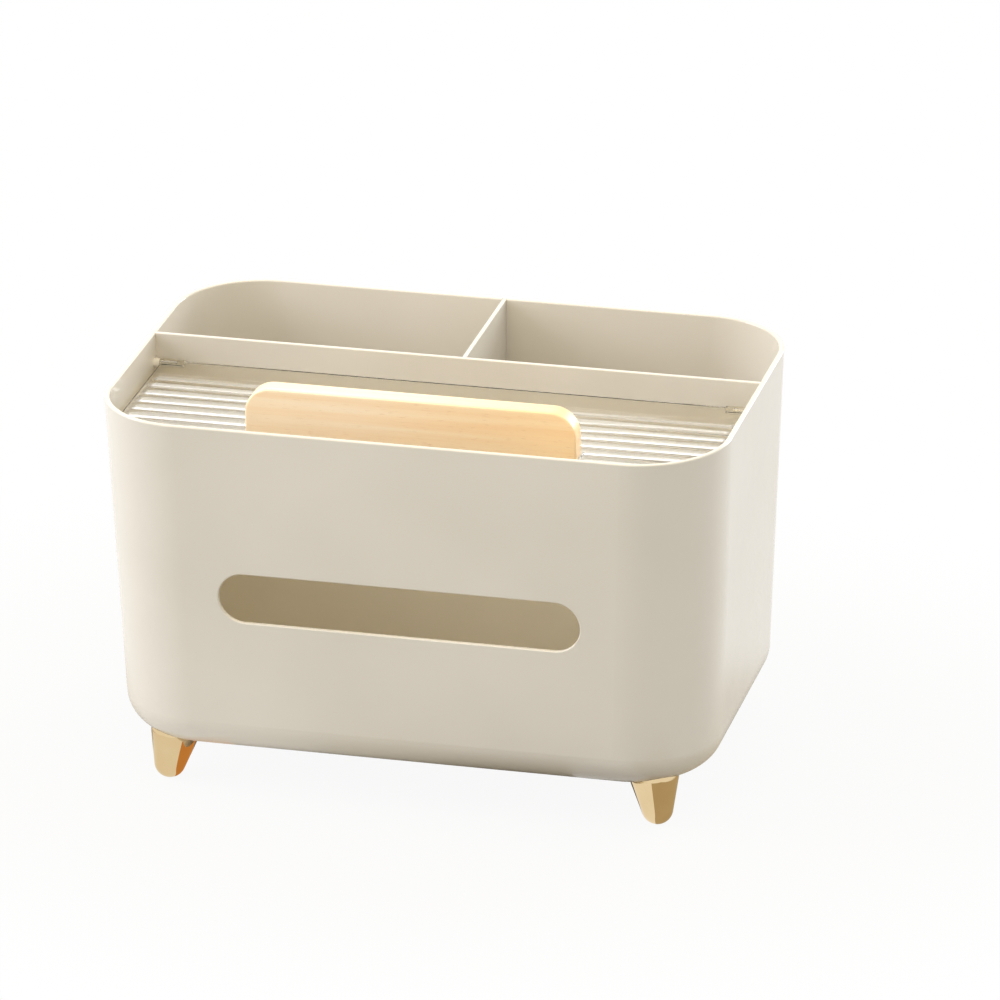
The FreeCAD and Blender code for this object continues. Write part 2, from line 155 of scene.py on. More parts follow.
def clear_styrene():
    material, tree = new_material("clear_styrene")
    place = add(tree, "ShaderNodeTexCoord").outputs["Object"]
    haze = add(tree, "ShaderNodeTexNoise", {"Vector": place, "Scale": per_mm(25), "Detail": 2.0})
    roughness = add(tree, "ShaderNodeMapRange", {
        "Value": haze.outputs["Fac"], "From Min": 0.3, "From Max": 0.7, "To Min": 0.015, "To Max": 0.04})
    clear = add(tree, "ShaderNodeBsdfPrincipled", {
        "Base Color": linear("FDFCF7"), "Roughness": roughness.outputs["Result"],
        "IOR": 1.52, "Transmission Weight": 1.0})
    passing = add(tree, "ShaderNodeBsdfTransparent", {"Color": linear("FAF9F4")})
    path = add(tree, "ShaderNodeLightPath")
    mixed = add(tree, "ShaderNodeMixShader", {
        "Fac": path.outputs["Is Shadow Ray"], 1: clear.outputs["BSDF"], 2: passing.outputs["BSDF"]})
    add(tree, "ShaderNodeOutputMaterial", {"Surface": mixed.outputs["Shader"]})
    return material


CLEAR = clear_styrene()
print("made", CLEAR.name)

# %% [markdown]
# ## Beech
#
# The pull is pale steamed beech, sawn along the grain, sanded and oiled. Beech is even and peachy,
# with soft bands along its length and many short dark flecks, which are its pores and rays. Both
# are noise stretched along the bar: bands some millimetres wide, and flecks a few millimetres
# long, drawn about twice as coarse as real ones so that they show. From the middle to the right
# end a warm tint is painted on the wood: painted light, where the light falls warmer.

# %% Oiled beech
WARM_LIGHT_START = -19 * MM  # along the pull, from where the painted warm light begins
# along the pull, where the painted warm light is full
WARM_LIGHT_FULL = 64 * MM


def oiled_beech():
    material, tree = new_material("oiled_beech")
    place = add(tree, "ShaderNodeTexCoord").outputs["Object"]
    band_place = add(tree, "ShaderNodeMapping", {"Vector": place, "Scale": (1 / 40, 1, 1)})
    bands = add(tree, "ShaderNodeTexNoise", {
        "Vector": band_place.outputs["Vector"], "Scale": per_mm(3.2),
        "Detail": 3.0, "Roughness": 0.55, "Distortion": 0.3})
    band_colour = add(tree, "ShaderNodeValToRGB", {"Fac": bands.outputs["Fac"]},
                      [(0.32, "FADBB2"), (0.5, "FDE3BE"), (0.7, "FFEACA")])
    fleck_place = add(tree, "ShaderNodeMapping", {"Vector": place, "Scale": (1 / 9, 1, 1)})
    flecks = add(tree, "ShaderNodeTexNoise", {
        "Vector": fleck_place.outputs["Vector"], "Scale": per_mm(0.5), "Detail": 1.0})
    fleck_share = add(tree, "ShaderNodeMapRange", {
        "Value": flecks.outputs["Fac"], "From Min": 0.62, "From Max": 0.78, "To Min": 0.0, "To Max": 0.3})
    flecked = add(tree, "ShaderNodeMix", {
        0: fleck_share.outputs["Result"], 6: band_colour.outputs["Color"], 7: linear("D09A63")},
        data_type="RGBA")
    along = add(tree, "ShaderNodeSeparateXYZ", {"Vector": place}).outputs["X"]
    # painted light: the wood is tinted warmer towards the right end, where the light falls warmer
    warm_light_share = add(tree, "ShaderNodeMapRange", {
        "Value": along, "From Min": WARM_LIGHT_START, "From Max": WARM_LIGHT_FULL})
    warm_lit = add(tree, "ShaderNodeMix", {
        0: warm_light_share.outputs["Result"], 6: flecked.outputs[2], 7: linear("FFF3DB")},
        data_type="RGBA", blend_type="MULTIPLY")
    roughness = add(tree, "ShaderNodeMapRange", {
        "Value": flecks.outputs["Fac"], "From Min": 0.3, "From Max": 0.7, "To Min": 0.3, "To Max": 0.42})
    pores = add(tree, "ShaderNodeBump", {
        "Height": flecks.outputs["Fac"], "Strength": 0.2, "Distance": 0.05 * MM}, invert=True)
    shader = add(tree, "ShaderNodeBsdfPrincipled", {
        "Base Color": warm_lit.outputs[2], "Roughness": roughness.outputs["Result"],
        "IOR": 1.48, "Normal": pores.outputs["Normal"]})
    add(tree, "ShaderNodeOutputMaterial", {"Surface": shader.outputs["BSDF"]})
    return material


BEECH = oiled_beech()
print("made", BEECH.name)

# %% [markdown]
# ## Champagne plating
#
# The legs are plastic made to look like metal: ABS with an electroplated skin of nickel tinted to
# champagne gold. The skin is a true metal to the eye, so the shader is fully metallic and the
# colour tints its reflections. Plating on plastic stays a little wavy, and handling leaves faint
# differences of gloss.

# %% Champagne plated legs


def champagne_plating():
    material, tree = new_material("champagne_plating")
    place = add(tree, "ShaderNodeTexCoord").outputs["Object"]
    tint = add(tree, "ShaderNodeTexNoise", {"Vector": place, "Scale": per_mm(8), "Detail": 2.0})
    colour = add(tree, "ShaderNodeValToRGB", {"Fac": tint.outputs["Fac"]},
                 [(0.3, "E1C79B"), (0.7, "E6CEA4")])
    smears = add(tree, "ShaderNodeTexNoise", {"Vector": place, "Scale": per_mm(2.5), "Detail": 3.0})
    roughness = add(tree, "ShaderNodeMapRange", {
        "Value": smears.outputs["Fac"], "From Min": 0.3, "From Max": 0.7, "To Min": 0.03, "To Max": 0.07})
    wave = add(tree, "ShaderNodeTexNoise", {"Vector": place, "Scale": per_mm(4), "Detail": 1.0})
    bump = add(tree, "ShaderNodeBump", {
        "Height": wave.outputs["Fac"], "Strength": 0.15, "Distance": 0.03 * MM})
    shader = add(tree, "ShaderNodeBsdfPrincipled", {
        "Base Color": colour.outputs["Color"], "Metallic": 1.0,
        "Roughness": roughness.outputs["Result"], "Normal": bump.outputs["Normal"]})
    add(tree, "ShaderNodeOutputMaterial", {"Surface": shader.outputs["BSDF"]})
    return material


PLATING = champagne_plating()
print("made", PLATING.name)

# %% [markdown]
# ## Zinc-plated steel
#
# The screws are rolled steel with a bright zinc skin: a grey metal, blurred by fine
# marks, with a cloudy patchwork where the zinc has dulled.

# %% Zinc-plated steel


def zinc_plated_steel():
    material, tree = new_material("zinc_plated_steel")
    place = add(tree, "ShaderNodeTexCoord").outputs["Object"]
    patches = add(tree, "ShaderNodeTexNoise", {"Vector": place, "Scale": per_mm(1.2), "Detail": 3.0})
    colour = add(tree, "ShaderNodeValToRGB", {"Fac": patches.outputs["Fac"]},
                 [(0.3, "BFC1C4"), (0.7, "D3D4D5")])
    roughness = add(tree, "ShaderNodeMapRange", {
        "Value": patches.outputs["Fac"], "From Min": 0.3, "From Max": 0.7, "To Min": 0.22, "To Max": 0.36})
    shader = add(tree, "ShaderNodeBsdfPrincipled", {
        "Base Color": colour.outputs["Color"], "Metallic": 1.0, "Roughness": roughness.outputs["Result"]})
    add(tree, "ShaderNodeOutputMaterial", {"Surface": shader.outputs["BSDF"]})
    return material


ZINC = zinc_plated_steel()
print("made", ZINC.name)

# %% [markdown]
# ## Finishes on the CAD pieces
#
# Where the CAD shape is already right, the piece keeps its mesh and only its material slot changes.

# %% Give each CAD node its finish
FINISHES = {
    "moulded_tub": CREAM, "clear_lid": CLEAR, "beech": BEECH, "plated_leg": PLATING, "steel": ZINC,
}
for entry in frame["record"]["subparts"]:
    frame["nodes"][entry["node"]].material_slots[0].material = FINISHES[entry["material_slot"]]
print("finished", len(frame["nodes"]), "CAD pieces")

# %% [markdown]
# ## From recipes to plain pieces
#
# Geometry Nodes and Boolean modifiers are recipes, and the finished model should hold only their
# results. One helper evaluates an object into a plain mesh, one runs a node tree on a mesh, and one
# joins and cuts closed meshes. The last makes the finished piece, gives it its material, hangs it on
# the body that carries it and hides the CAD nodes that it stands for.

# %% Helpers for finished pieces


def plain_mesh(obj):
    """The object's mesh with its modifiers carried out."""
    bpy.context.view_layer.update()
    depsgraph = bpy.context.evaluated_depsgraph_get()
    return bpy.data.meshes.new_from_object(obj.evaluated_get(depsgraph))


def run_rule(mesh, tree, settings):
    """The mesh after a Geometry Nodes tree with these named settings."""
    obj = bpy.data.objects.new(tree.name, mesh)
    modifier = obj.modifiers.new(tree.name, "NODES")
    modifier.node_group = tree
    for item in tree.interface.items_tree:
        if item.in_out == "INPUT" and item.name in settings:
            modifier[item.identifier] = settings[item.name]
    bpy.context.scene.collection.objects.link(obj)
    result = plain_mesh(obj)
    obj.modifiers.remove(modifier)
    bpy.data.objects.remove(obj)
    return result


def combine(mesh, *steps):
    """The mesh after exact Boolean steps of (operation, other mesh)."""
    obj = bpy.data.objects.new("combined", mesh)
    bpy.context.scene.collection.objects.link(obj)
    others = []
    for operation, other_mesh in steps:
        other = bpy.data.objects.new("other", other_mesh)
        bpy.context.scene.collection.objects.link(other)
        others.append(other)
        modifier = obj.modifiers.new(operation, "BOOLEAN")
        modifier.solver, modifier.operation, modifier.object = "EXACT", operation, other
    result = plain_mesh(obj)
    for done in [obj] + others:
        bpy.data.objects.remove(done)
    return result


def finished_piece(name, mesh, material, body, nodes, sharp_angle=30):
    """Makes a piece that rides on a body in place of CAD nodes, smooth but for edges over sharp_angle."""
    mesh.name = name
    mesh.materials.clear()
    mesh.materials.append(material)
    mesh.shade_smooth()
    mesh.set_sharp_from_angle(angle=math.radians(sharp_angle))
    obj = bpy.data.objects.new(name, mesh)
    bpy.context.scene.collection.objects.link(obj)
    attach(obj, body)
    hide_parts(*nodes)
    print(f"{name}: {len(mesh.vertices)} points, {len(mesh.polygons)} faces")


# %% [markdown]
# ## Turned shapes
#
# Pins and screws are turned on a lathe: one half profile, spun about an axis. Spinning the
# points here gives closed poles and faces that point outwards from the start. A wave that climbs
# round the axis with the height turns a smooth shank into a threaded one.

# %% Lathe


def turned(profile, sides, place=Matrix(), thread_depth=0.0, thread_pitch=1.0, threaded=()):
    """Bmesh of a half profile of (radius, height) points, both ends on the axis, spun about z."""
    bm = bmesh.new()
    rings = []
    for index, (radius, height) in enumerate(profile):
        if radius == 0:
            rings.append([bm.verts.new((0, 0, height))] * (sides + 1))
            continue
        ring = []
        for step in range(sides):
            climb = (height / thread_pitch - step / sides) % 1
            depth = thread_depth * abs(2 * climb - 1) if index in threaded else 0.0
            spoke = Vector((radius - depth, 0, height))
            spoke.rotate(Matrix.Rotation(2 * math.pi * step / sides, 3, "Z"))
            ring.append(bm.verts.new(spoke))
        rings.append(ring + ring[:1])
    for low, high in zip(rings, rings[1:]):
        for step in range(sides):
            corners = [low[step], low[step + 1], high[step + 1], high[step]]
            bm.faces.new(list(dict.fromkeys(corners)))  # a pole repeats, and its face is a triangle
    bm.transform(place)
    return bm


def as_mesh(name, *bmeshes):
    """One mesh that holds all the given bmeshes."""
    mesh = bpy.data.meshes.new(name)
    whole = bmesh.new()
    for bm in bmeshes:
        bm.to_mesh(mesh)
        bm.free()
        whole.from_mesh(mesh)
    whole.to_mesh(mesh)
    whole.free()
    return mesh


def along_x(x, y, z):
    """Places a turned shape with its axis along +x, starting at a point."""
    return Matrix.Translation((x, y, z)) @ Matrix.Rotation(math.pi / 2, 4, "Y")


print("a turned shape laid along x points to", [round(v) for v in along_x(0, 0, 0) @ Vector((0, 0, 1))])

# %% [markdown]
# ## Fluted lid: the plate
#
# The lid is a clear plate with a row of low rounded flutes along it, which blur what lies below and
# catch one line of light each. The plate is a grid of rows across the lid. Each row is as long as
# the outline is wide there, so the grid fits the rounded front corners without a cut, and the rows
# lie close where the flutes need them. Clear plastic shows every hard edge, so the edges of the
# plate are rounded. Each point also keeps two values for the flutes: how far it is from the
# outline, and whether it is under the pull.

# %% Sizes of the lid
LID_PLATE = 2.2 * MM
LID_CORNER = 29.9 * MM  # front corners, in plan
LID_REAR_CORNER = 1.5 * MM
LID_TAIL = 1.9 * MM  # plate behind the hinge line
LID_EDGE = 0.4 * MM  # rounding of the edges of the plate
KNUCKLE_RADIUS = 2.2 * MM
FLUTE_PITCH = 7.6 * MM
FLUTES = 9
HINGE_STRIP = 13.6 * MM  # plain strip along the rear edge
PAD_MARGIN = 0.8 * MM  # flat seat round the foot of the pull
PAD_SLOPE = 0.15 * MM  # from the seat down to the flutes

lid_low, lid_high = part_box("lid_panel")
hinge_y = lid_high.y - KNUCKLE_RADIUS
hinge_z = (lid_low.z + lid_high.z) / 2
lid_half, lid_front, lid_rear = lid_high.x, lid_low.y, hinge_y + LID_TAIL
plate_top, plate_bottom = hinge_z + LID_PLATE / 2, hinge_z - LID_PLATE / 2
flute_rear = lid_rear - HINGE_STRIP
flute_front = flute_rear - FLUTES * FLUTE_PITCH
pull_low, pull_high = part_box("lid_handle")
pad_x = pull_high.x + PAD_MARGIN
pad_front, pad_rear = pull_low.y - PAD_MARGIN, pull_high.y + PAD_MARGIN
print(f"lid {2 * lid_half / MM:.1f} mm wide,",
      f"flutes from y {flute_rear / MM:.1f} to {flute_front / MM:.1f} mm")

# %% Grid of the plate
ROWS_PER_FLUTE = 16
STRIP_STEPS = 6  # rows across the plain strip
CORNER_STEP, REAR_CORNER_STEP = 3, 15  # degrees from row to row round the corners
FRONT_ARC = 24  # degrees of the front corners that lie before the first flute
EDGE_STEPS = [0, 0.7, 1.2, 1.7, 2.2, 2.7, 3.2, 3.7]  # columns this far in from the ends of a row, in mm
front_middle, rear_middle = lid_front + LID_CORNER, lid_rear - LID_REAR_CORNER
front_radius, rear_radius = LID_CORNER - LID_EDGE, LID_REAR_CORNER - LID_EDGE


def plate_rows():
    """Where the rows lie in y, from the front edge to the rear edge."""
    flute_rows, strip = FLUTES * ROWS_PER_FLUTE, rear_middle - flute_rear
    front_turn = [math.radians(a) for a in range(0, FRONT_ARC, CORNER_STEP)]
    rear_turn = [math.radians(a) for a in range(0, 91, REAR_CORNER_STEP)]
    rows = [front_middle - front_radius * math.cos(a) for a in front_turn]
    rows += [flute_front + FLUTE_PITCH * step / ROWS_PER_FLUTE for step in range(flute_rows + 1)]
    rows += [flute_rear + strip * step / STRIP_STEPS for step in range(1, STRIP_STEPS)]
    rows += [rear_middle + rear_radius * math.sin(a) for a in rear_turn]
    pads = [pad_front - PAD_SLOPE, pad_front, pad_rear, pad_rear + PAD_SLOPE]
    return sorted([y for y in rows if all(abs(y - pad) > PAD_SLOPE for pad in pads)] + pads)


def row_columns(y):
    """Where the points of the row at y lie in x."""
    reach = lid_half - LID_EDGE
    if y < front_middle:
        reach = lid_half - LID_CORNER + math.sqrt(max(front_radius ** 2 - (front_middle - y) ** 2, 0))
    elif y > rear_middle:
        reach = lid_half - LID_REAR_CORNER + math.sqrt(max(rear_radius ** 2 - (y - rear_middle) ** 2, 0))
    right = [0.0, pad_x / 2, pad_x, pad_x + PAD_SLOPE]
    right += [reach - step * MM for step in reversed(EDGE_STEPS)]
    return [-x for x in reversed(right[1:])] + right


def from_corner(x, y):
    """How far a point lies past the middle of the nearest corner, outwards in x and in y."""
    at_rear = y > rear_middle
    corner = LID_REAR_CORNER if at_rear else LID_CORNER
    past = y - rear_middle if at_rear else front_middle - y
    return max(abs(x) - (lid_half - corner), 0), max(past, 0), corner


print("plate:", len(plate_rows()), "rows of", len(row_columns(front_middle)), "points")

# %% Plate as one closed mesh
EDGE_TURN = 15  # degrees from ring to ring round the edges


def lid_plate():
    """The plate without flutes: its upper side, rounded edges down to the underside, and a last face."""
    bm = bmesh.new()
    inset = bm.verts.layers.float.new("inset")
    pad = bm.verts.layers.float.new("pad")
    grid = [[bm.verts.new((x, y, plate_top)) for x in row_columns(y)] for y in plate_rows()]
    for vert in bm.verts:
        x, y, z = vert.co
        aside, past, corner = from_corner(x, y)
        vert[inset] = corner - math.hypot(aside, past)
        within = pad_front - PAD_SLOPE / 2 < y < pad_rear + PAD_SLOPE / 2
        vert[pad] = within and abs(x) < pad_x + PAD_SLOPE / 2
    for near, far in zip(grid, grid[1:]):
        for i in range(len(near) - 1):
            bm.faces.new((near[i], near[i + 1], far[i + 1], far[i]))

    right_side, left_side = [row[-1] for row in grid[1:]], [row[0] for row in grid[-2:0:-1]]
    upper = grid[0] + right_side + grid[-1][-2::-1] + left_side
    plan = []
    for vert in upper:
        aside, past, corner = from_corner(vert.co.x, vert.co.y)
        out = Vector((math.copysign(aside, vert.co.x), math.copysign(past, vert.co.y - front_middle), 0))
        plan.append((vert.co.copy(), out.normalized()))
    angles = [math.radians(a) for a in range(0, 91, EDGE_TURN)]
    turns = [(math.sin(a), plate_top - LID_EDGE * (1 - math.cos(a))) for a in angles[1:]]
    turns += [(math.sin(a), plate_bottom + LID_EDGE * (1 - math.cos(a))) for a in reversed(angles)]
    for share, z in turns:
        lower = []
        for point, out in plan:
            edge = point + out * LID_EDGE * share
            lower.append(bm.verts.new((edge.x, edge.y, z)))
        for i in range(len(upper)):
            j = (i + 1) % len(upper)
            bm.faces.new((upper[i], lower[i], lower[j], upper[j]))
        upper = lower
    bm.faces.new(reversed(upper))
    return as_mesh("lid_plate", bm)


plate = lid_plate()
print("plate:", len(plate.vertices), "points")

# %% [markdown]
# ## Fluted lid: the flutes
#
# A rule raises the flutes, so it is a small Geometry Nodes tree. Across the flutes the height
# follows an arch that repeats every pitch. Near the outline it fades to nothing, as a mould cutter
# runs out, and under the pull it is a flat pad for the wood to stand on.

# %% Rule that raises the flutes


def flute_rule():
    tree = bpy.data.node_groups.new("raise_flutes", "GeometryNodeTree")
    tree.interface.new_socket("Geometry", in_out="INPUT", socket_type="NodeSocketGeometry")
    for name in ("Pitch", "Height", "Pad Height", "Rear Line", "Front Line", "Margin", "Run-out"):
        tree.interface.new_socket(name, in_out="INPUT", socket_type="NodeSocketFloat")
    tree.interface.new_socket("Material", in_out="INPUT", socket_type="NodeSocketMaterial")
    tree.interface.new_socket("Geometry", in_out="OUTPUT", socket_type="NodeSocketGeometry")
    given = add(tree, "NodeGroupInput").outputs
    inset = add(tree, "GeometryNodeInputNamedAttribute", {"Name": "inset"}, data_type="FLOAT")
    pad = add(tree, "GeometryNodeInputNamedAttribute", {"Name": "pad"}, data_type="FLOAT")
    position = add(tree, "GeometryNodeInputPosition").outputs["Position"]
    y = add(tree, "ShaderNodeSeparateXYZ", {"Vector": position}).outputs["Y"]

    # an arch over each pitch: four times its passed share times its share to come
    from_rear = add(tree, "ShaderNodeMath", {0: given["Rear Line"], 1: y}, operation="SUBTRACT").outputs[0]
    flutes = add(tree, "ShaderNodeMath", {0: from_rear, 1: given["Pitch"]}, operation="DIVIDE").outputs[0]
    part = add(tree, "ShaderNodeMath", {0: flutes}, operation="FRACT").outputs[0]
    rest = add(tree, "ShaderNodeMath", {0: 1.0, 1: part}, operation="SUBTRACT").outputs[0]
    hump = add(tree, "ShaderNodeMath", {0: part, 1: rest}, operation="MULTIPLY").outputs[0]
    arch = add(tree, "ShaderNodeMath", {0: hump, 1: 4.0}, operation="MULTIPLY").outputs[0]

    # one between the first and the last flute, fading to nothing towards the outline
    before_rear = add(tree, "ShaderNodeMath", {0: y, 1: given["Rear Line"]}, operation="LESS_THAN")
    past_front = add(tree, "ShaderNodeMath", {0: y, 1: given["Front Line"]}, operation="GREATER_THAN")
    fluted = add(tree, "ShaderNodeMath", {0: before_rear.outputs[0], 1: past_front.outputs[0]},
                 operation="MULTIPLY").outputs[0]
    full = add(tree, "ShaderNodeMath", {0: given["Margin"], 1: given["Run-out"]}, operation="ADD")
    fade = add(tree, "ShaderNodeMapRange", {
        "Value": inset.outputs["Attribute"], "From Min": given["Margin"], "From Max": full.outputs[0]},
        interpolation_type="SMOOTHSTEP").outputs["Result"]
    area = add(tree, "ShaderNodeMath", {0: fluted, 1: fade}, operation="MULTIPLY").outputs[0]

    shape = add(tree, "ShaderNodeMath", {0: arch, 1: area}, operation="MULTIPLY").outputs[0]
    ridge = add(tree, "ShaderNodeMath", {0: shape, 1: given["Height"]}, operation="MULTIPLY").outputs[0]
    seat = add(tree, "ShaderNodeMath", {0: pad.outputs["Attribute"], 1: given["Pad Height"]},
               operation="MULTIPLY").outputs[0]
    rise = add(tree, "ShaderNodeMath", {0: ridge, 1: seat}, operation="MAXIMUM").outputs[0]
    offset = add(tree, "ShaderNodeCombineXYZ", {"Z": rise}).outputs["Vector"]
    raised = add(tree, "GeometryNodeSetPosition", {"Geometry": given["Geometry"], "Offset": offset})
    real = add(tree, "GeometryNodeRealizeInstances", {"Geometry": raised.outputs["Geometry"]})
    clad = add(tree, "GeometryNodeSetMaterial", {
        "Geometry": real.outputs["Geometry"], "Material": given["Material"]})
    add(tree, "NodeGroupOutput", {"Geometry": clad.outputs["Geometry"]})
    return tree


FLUTE_HEIGHT = 0.34 * MM
FLUTE_MARGIN = 1.0 * MM  # plain border inside the outline
FLUTE_RUN_OUT = 2.4 * MM
PAD_HEIGHT = 0.5 * MM
fluted_plate = run_rule(plate, flute_rule(), {
    "Pitch": FLUTE_PITCH, "Height": FLUTE_HEIGHT, "Pad Height": PAD_HEIGHT, "Rear Line": flute_rear,
    "Front Line": flute_front, "Margin": FLUTE_MARGIN, "Run-out": FLUTE_RUN_OUT, "Material": CLEAR})
print(f"flutes: top of the lid at z {max(v.co.z for v in fluted_plate.vertices) / MM:.2f} mm")

# %% [markdown]
# ## Fluted lid: knuckles and holes
#
# At each rear corner a barrel takes a hinge pin, and two holes let the screws of the pull through.
# These are solid operations on a closed plate, so exact Booleans join the barrels and cut the holes.

# %% Knuckles and holes
KNUCKLE_LENGTH = 9.0 * MM
ROUND_SIDES = 48
PIN_RADIUS = 1.0 * MM
PIN_FIT = 0.01 * MM
BORE_DEPTH = 6.3 * MM
SCREW_HOLE_RADIUS = 1.7 * MM
PULL_SCREW_SPACING = 84.0 * MM
BEYOND = 5.0 * MM  # how far cutting shapes run past what they cut
pull_screw_y = (pull_low.y + pull_high.y) / 2


def rod(radius, length, place):
    """A plain round bar that starts at a place, to join or to cut with."""
    return turned([(0, 0), (radius, 0), (radius, length), (0, length)], ROUND_SIDES, place)


barrels, cutters = [], []
for side in (-1, 1):
    barrel_start = min(side * lid_half, side * (lid_half - KNUCKLE_LENGTH))
    bore_start = min(side * (lid_half + BEYOND), side * (lid_half - BORE_DEPTH))
    hole_start = (side * PULL_SCREW_SPACING / 2, pull_screw_y, plate_bottom - BEYOND)
    barrels.append(rod(KNUCKLE_RADIUS, KNUCKLE_LENGTH, along_x(barrel_start, hinge_y, hinge_z)))
    cutters.append(rod(PIN_RADIUS + PIN_FIT, BORE_DEPTH + BEYOND, along_x(bore_start, hinge_y, hinge_z)))
    cutters.append(rod(SCREW_HOLE_RADIUS, LID_PLATE + 2 * BEYOND, Matrix.Translation(hole_start)))
lid_mesh = combine(fluted_plate, ("UNION", as_mesh("barrels", *barrels)),
                   ("DIFFERENCE", as_mesh("cutters", *cutters)))
finished_piece("fluted_lid", lid_mesh, CLEAR, "lid", ["lid_panel"], sharp_angle=20)

# %% [markdown]
# ## Hinge pins
#
# The pins are clear mouldings like the lid. They are pressed into its knuckles and turn in bosses of
# the tub. A turned rod with a chamfer at each end is all they are.

# %% Hinge pins
PIN_CHAMFER = 0.3 * MM
PIN_NODES = ["hinge_pin_left", "hinge_pin_right"]
pins = []
for node in PIN_NODES:
    low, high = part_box(node)
    length = high.x - low.x
    profile = [(0, 0), (PIN_RADIUS - PIN_CHAMFER, 0), (PIN_RADIUS, PIN_CHAMFER),
               (PIN_RADIUS, length - PIN_CHAMFER), (PIN_RADIUS - PIN_CHAMFER, length), (0, length)]
    pins.append(turned(profile, ROUND_SIDES, along_x(low.x, hinge_y, hinge_z)))
finished_piece("hinge_pins", as_mesh("hinge_pins", *pins), CLEAR, "lid", PIN_NODES)

# %% [markdown]
# ## Screws
#
# Pan head screws hold the legs and the pull. One screw is turned with a climbing thread, its cross
# recess is cut with two tapered bars, and Geometry Nodes set a copy on each place, turned by chance
# as a driver leaves it. A fixed seed keeps the chance the same each time.

# %% One screw
SCREW_RADIUS = 1.5 * MM
SCREW_POINT = 2.0 * MM
SCREW_NECK = 1.0 * MM  # plain shank under the head
THREAD_PITCH = 1.3 * MM
THREAD_DEPTH = 0.35 * MM
RINGS_PER_TURN = 8
HEAD_RADIUS = 2.8 * MM
HEAD_HEIGHT = 2.0 * MM
HEAD_ROUND = 0.8 * MM
HEAD_TURN = 15  # degrees from ring to ring round the edge of the head
RECESS_LENGTH = 3.2 * MM
RECESS_WIDTH = 0.9 * MM
RECESS_DEPTH = 1.0 * MM
RECESS_TAPER = 0.75
SCREW_SIDES = 32


def recess_bar(turn):
    """A bar for one slot of the cross recess, narrower at its foot, that runs out above the head."""
    bm = bmesh.new()
    bmesh.ops.create_cube(bm, size=1.0)
    for vert in bm.verts:
        share = RECESS_TAPER if vert.co.z < 0 else 1 / RECESS_TAPER
        height = HEAD_HEIGHT + 2 * RECESS_DEPTH * vert.co.z
        vert.co = (vert.co.x * RECESS_LENGTH * share, vert.co.y * RECESS_WIDTH * share, height)
    bm.transform(Matrix.Rotation(turn, 4, "Z"))
    return as_mesh("recess_bar", bm)


def screw_mesh(length):
    """A screw with its head above z = 0 and its point below."""
    thread_low, thread_high = SCREW_POINT - length, -SCREW_NECK
    steps = round((thread_high - thread_low) / THREAD_PITCH * RINGS_PER_TURN)
    shank = [(SCREW_RADIUS, thread_low + (thread_high - thread_low) * i / steps) for i in range(steps + 1)]
    head = [(SCREW_RADIUS, 0), (HEAD_RADIUS, 0)]
    for angle in [math.radians(a) for a in range(0, 91, HEAD_TURN)]:
        head.append((HEAD_RADIUS - HEAD_ROUND * (1 - math.cos(angle)),
                     HEAD_HEIGHT - HEAD_ROUND * (1 - math.sin(angle))))
    profile = [(0, -length)] + shank + head + [(0, HEAD_HEIGHT)]
    blank = turned(profile, SCREW_SIDES, thread_depth=THREAD_DEPTH, thread_pitch=THREAD_PITCH,
                   threaded=range(1, len(shank)))
    cross = combine(recess_bar(0), ("UNION", recess_bar(math.pi / 2)))
    screw = combine(as_mesh("screw", blank), ("DIFFERENCE", cross))
    print(f"screw {length / MM:.0f} mm long: {len(screw.vertices)} points")
    return screw


# %% Rule that sets screws on their places
SCREW_SEED = 7


def screw_rule():
    tree = bpy.data.node_groups.new("set_screws", "GeometryNodeTree")
    tree.interface.new_socket("Geometry", in_out="INPUT", socket_type="NodeSocketGeometry")
    kinds = {"Screw": "Object", "Tip Over": "Float", "Seed": "Int", "Material": "Material"}
    for name, kind in kinds.items():
        tree.interface.new_socket(name, in_out="INPUT", socket_type="NodeSocket" + kind)
    tree.interface.new_socket("Geometry", in_out="OUTPUT", socket_type="NodeSocketGeometry")
    given = add(tree, "NodeGroupInput").outputs
    screw = add(tree, "GeometryNodeObjectInfo", {"Object": given["Screw"]})
    chance = add(tree, "FunctionNodeRandomValue", {2: 0.0, 3: math.pi / 2, "Seed": given["Seed"]})
    turn = add(tree, "ShaderNodeCombineXYZ", {"X": given["Tip Over"], "Z": chance.outputs[1]})
    copies = add(tree, "GeometryNodeInstanceOnPoints", {
        "Points": given["Geometry"], "Instance": screw.outputs["Geometry"],
        "Rotation": turn.outputs["Vector"]})
    real = add(tree, "GeometryNodeRealizeInstances", {"Geometry": copies.outputs["Instances"]})
    clad = add(tree, "GeometryNodeSetMaterial", {
        "Geometry": real.outputs["Geometry"], "Material": given["Material"]})
    add(tree, "NodeGroupOutput", {"Geometry": clad.outputs["Geometry"]})
    return tree


def set_screws(name, length, places, tip_over, body, node):
    """Sets screws of one length on their places, as one piece."""
    screw = bpy.data.objects.new("screw", screw_mesh(length))
    bpy.context.scene.collection.objects.link(screw)
    points = bpy.data.meshes.new("places")
    points.from_pydata(places, [], [])
    mesh = run_rule(points, screw_rule(), {
        "Screw": screw, "Tip Over": tip_over, "Seed": SCREW_SEED, "Material": ZINC})
    bpy.data.objects.remove(screw)
    finished_piece(name, mesh, ZINC, body, [node])


